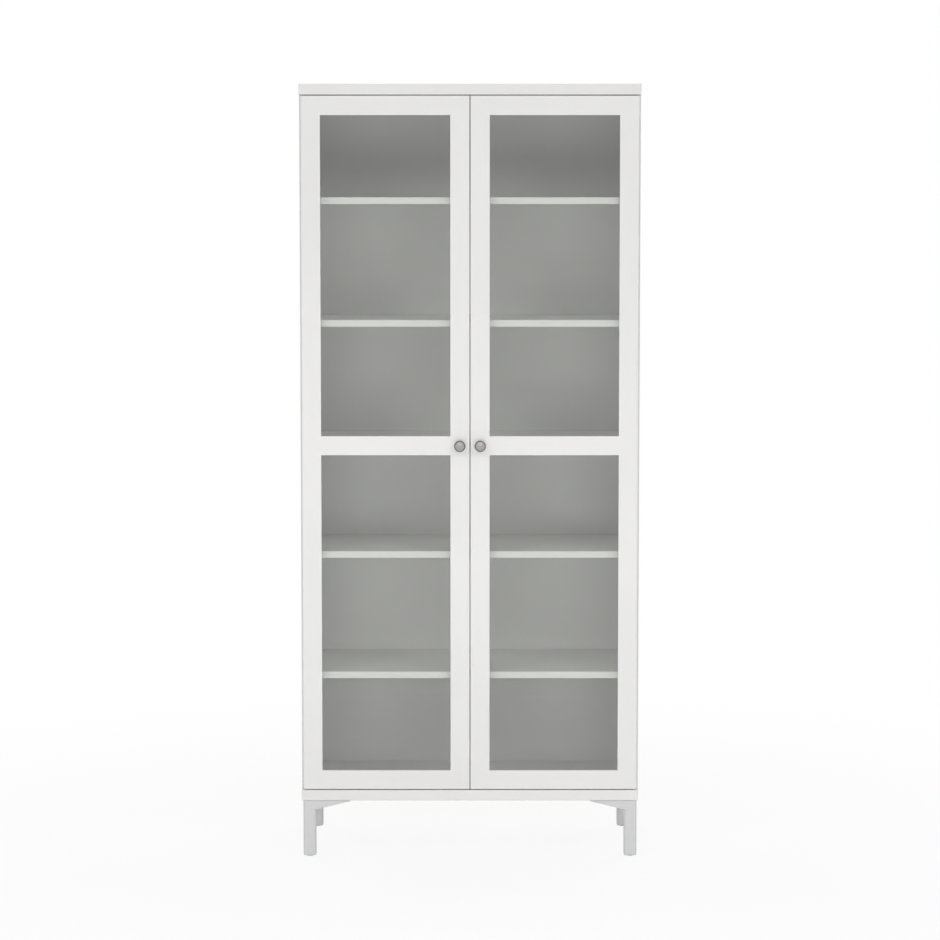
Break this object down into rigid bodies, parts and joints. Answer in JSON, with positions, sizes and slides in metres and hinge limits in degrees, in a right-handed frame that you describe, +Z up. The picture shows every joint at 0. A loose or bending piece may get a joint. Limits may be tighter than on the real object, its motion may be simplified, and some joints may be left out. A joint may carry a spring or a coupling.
{
  "type": "display cabinet",
  "caption": "Tall narrow display cabinet with a pair of hinged framed glass doors over white shelves, round metal knobs at mid height, on short metal legs with corner webs.",
  "frame": {"origin": "on the floor, in the middle of the width, and midway between the faces of the knobs and the back edges of the boards", "axes": "+Z up, +X to the right as seen by someone facing the doors, -Y out of the front"},
  "size_m": [0.8, 0.424, 1.828],
  "materials": {
    "white_board": "satin white laminate on board",
    "door_paint": "satin white lacquer on fibreboard",
    "back_sheet": "matt white faced hardboard",
    "clear_glass": "clear float glass, 4 mm",
    "leg_paint": "satin light grey powder coat",
    "brushed_knob": "brushed nickel",
    "hinge_steel": "bright nickel plate",
    "pin_steel": "zinc plate",
    "pad_plastic": "grey glide pad"
  },
  "bodies": {
    "cabinet": {"top_board": "white_board", "base_board": "white_board", "side_panel_left": "white_board", "side_panel_right": "white_board", "fixed_shelf": "white_board", "shelf_1": "white_board", "shelf_2": "white_board", "shelf_3": "white_board", "shelf_4": "white_board", "back_panel": "back_sheet", "hinge_arm_bottom_left": "hinge_steel", "hinge_plate_bottom_left": "hinge_steel", "hinge_arm_middle_left": "hinge_steel", "hinge_plate_middle_left": "hinge_steel", "hinge_arm_top_left": "hinge_steel", "hinge_plate_top_left": "hinge_steel", "leg_front_left": "leg_paint", "foot_pad_front_left": "pad_plastic", "shelf_1_pin_front_left": "pin_steel", "shelf_2_pin_front_left": "pin_steel", "shelf_3_pin_front_left": "pin_steel", "shelf_4_pin_front_left": "pin_steel", "leg_back_left": "leg_paint", "foot_pad_back_left": "pad_plastic", "shelf_1_pin_back_left": "pin_steel", "shelf_2_pin_back_left": "pin_steel", "shelf_3_pin_back_left": "pin_steel", "shelf_4_pin_back_left": "pin_steel", "hinge_arm_bottom_right": "hinge_steel", "hinge_plate_bottom_right": "hinge_steel", "hinge_arm_middle_right": "hinge_steel", "hinge_plate_middle_right": "hinge_steel", "hinge_arm_top_right": "hinge_steel", "hinge_plate_top_right": "hinge_steel", "leg_front_right": "leg_paint", "foot_pad_front_right": "pad_plastic", "shelf_1_pin_front_right": "pin_steel", "shelf_2_pin_front_right": "pin_steel", "shelf_3_pin_front_right": "pin_steel", "shelf_4_pin_front_right": "pin_steel", "leg_back_right": "leg_paint", "foot_pad_back_right": "pad_plastic", "shelf_1_pin_back_right": "pin_steel", "shelf_2_pin_back_right": "pin_steel", "shelf_3_pin_back_right": "pin_steel", "shelf_4_pin_back_right": "pin_steel"},
    "left_door": {"door_frame_left": "door_paint", "glass_upper_left": "clear_glass", "glass_lower_left": "clear_glass", "knob_left": "brushed_knob", "hinge_cup_bottom_left": "hinge_steel", "hinge_cup_middle_left": "hinge_steel", "hinge_cup_top_left": "hinge_steel"},
    "right_door": {"door_frame_right": "door_paint", "glass_upper_right": "clear_glass", "glass_lower_right": "clear_glass", "knob_right": "brushed_knob", "hinge_cup_bottom_right": "hinge_steel", "hinge_cup_middle_right": "hinge_steel", "hinge_cup_top_right": "hinge_steel"}
  },
  "joints": [
    {"name": "left_door_hinge", "type": "hinge", "parent": "cabinet", "child": "left_door", "pos_m": [-0.3875, -0.179, 0], "axis": [0, 0, -1], "range_deg": [0, 95]},
    {"name": "right_door_hinge", "type": "hinge", "parent": "cabinet", "child": "right_door", "pos_m": [0.3875, -0.179, 0], "axis": [0, 0, 1], "range_deg": [0, 95]}
  ]
}
